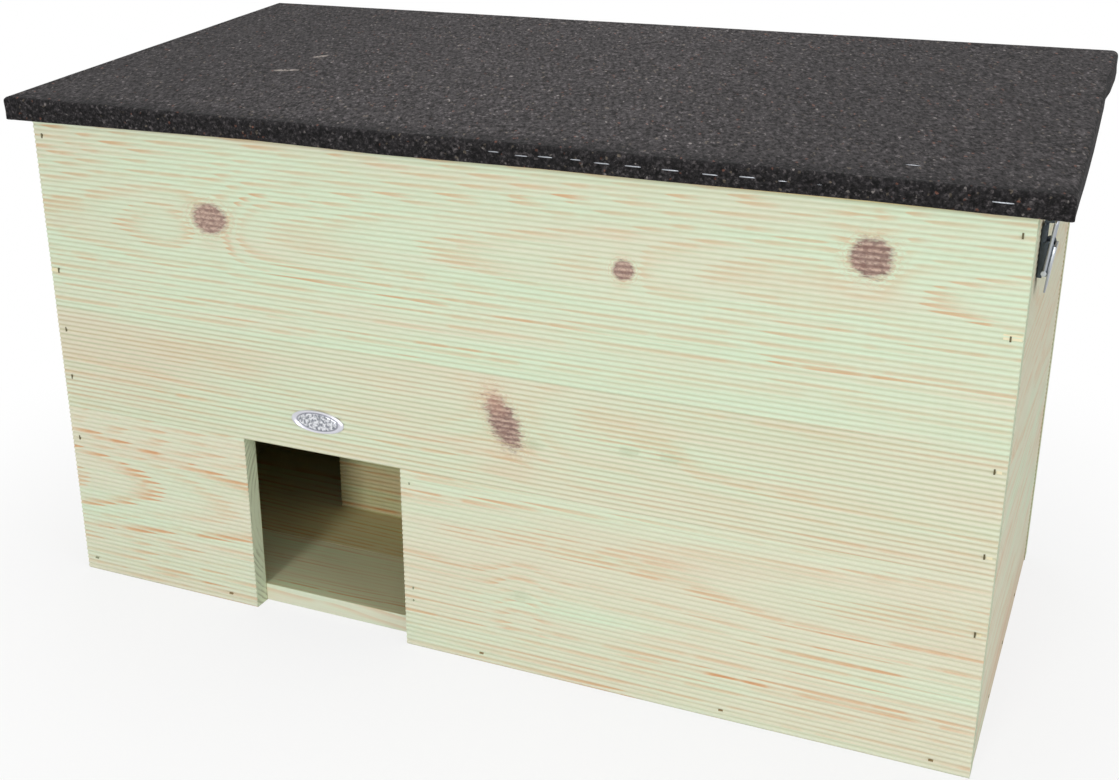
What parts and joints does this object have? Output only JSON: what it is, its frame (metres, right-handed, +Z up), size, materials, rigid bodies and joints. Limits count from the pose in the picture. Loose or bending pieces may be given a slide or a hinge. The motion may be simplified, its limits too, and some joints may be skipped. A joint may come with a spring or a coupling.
{
  "type": "hedgehog house",
  "caption": "Ribbed pine garden shelter: a low entrance opens to a porch and nest chamber under a hinged, felted, sloping lid with side toggle latches.",
  "frame": {"origin": "on the ground under the middle of the lid", "axes": "+X along the front to the right as seen from the front, +Y to the back, +Z up"},
  "size_m": [0.6254, 0.3024, 0.3496],
  "materials": {
    "pine_board": "pressure-treated, ribbed, unpainted",
    "lid_panel": "bare plywood",
    "roofing_felt": "mineral granules on bitumen",
    "zinc_steel": "bright zinc plate"
  },
  "bodies": {
    "house": {"front_lower_left_board": "pine_board", "front_lower_right_board": "pine_board", "front_middle_board": "pine_board", "front_top_board": "pine_board", "left_side_lower_board": "pine_board", "left_side_middle_board": "pine_board", "left_side_top_board": "pine_board", "right_side_lower_board": "pine_board", "right_side_middle_board": "pine_board", "right_side_top_board": "pine_board", "back_lower_board": "pine_board", "back_middle_board": "pine_board", "back_top_board": "pine_board", "floor_front_board": "pine_board", "floor_middle_board": "pine_board", "floor_rear_board": "pine_board", "porch_side_lower_board": "pine_board", "porch_side_upper_board": "pine_board", "porch_back_lower_board": "pine_board", "porch_back_upper_board": "pine_board", "left_hinge_back_leaf": "zinc_steel", "right_hinge_back_leaf": "zinc_steel", "left_hinge_pin": "zinc_steel", "right_hinge_pin": "zinc_steel", "left_latch_base": "zinc_steel", "right_latch_base": "zinc_steel", "left_latch_pin": "zinc_steel", "right_latch_pin": "zinc_steel"},
    "lid": {"roof_panel": "lid_panel", "roofing_felt": "roofing_felt", "left_hinge_lid_leaf": "zinc_steel", "right_hinge_lid_leaf": "zinc_steel", "left_latch_strike": "zinc_steel", "right_latch_strike": "zinc_steel"},
    "right_lever": {"right_latch_lever": "zinc_steel"},
    "right_loop": {"right_latch_loop": "zinc_steel"},
    "left_lever": {"left_latch_lever": "zinc_steel"},
    "left_loop": {"left_latch_loop": "zinc_steel"}
  },
  "joints": [
    {"name": "lid_hinge", "type": "hinge", "parent": "house", "child": "lid", "pos_m": [0, 0.13632, 0.33198], "axis": [-1, 0, 0], "range_deg": [0, 110]},
    {"name": "right_lever_swing", "type": "hinge", "parent": "house", "child": "right_lever", "pos_m": [0.3, -0.10973, 0.2892], "axis": [0, -1, 0], "range_deg": [0, 110]},
    {"name": "right_loop_swing", "type": "hinge", "parent": "right_lever", "child": "right_loop", "pos_m": [0.2994, -0.10973, 0.2761], "axis": [0, 1, 0], "range_deg": [0, 176]},
    {"name": "left_lever_swing", "type": "hinge", "parent": "house", "child": "left_lever", "pos_m": [-0.3, -0.10973, 0.2892], "axis": [0, 1, 0], "range_deg": [0, 110]},
    {"name": "left_loop_swing", "type": "hinge", "parent": "left_lever", "child": "left_loop", "pos_m": [-0.2994, -0.10973, 0.2761], "axis": [0, -1, 0], "range_deg": [0, 176]}
  ],
  "couplings": [
    {"joint": "right_loop_swing", "follows": "right_lever_swing", "ratio": 1.6},
    {"joint": "left_loop_swing", "follows": "left_lever_swing", "ratio": 1.6}
  ]
}
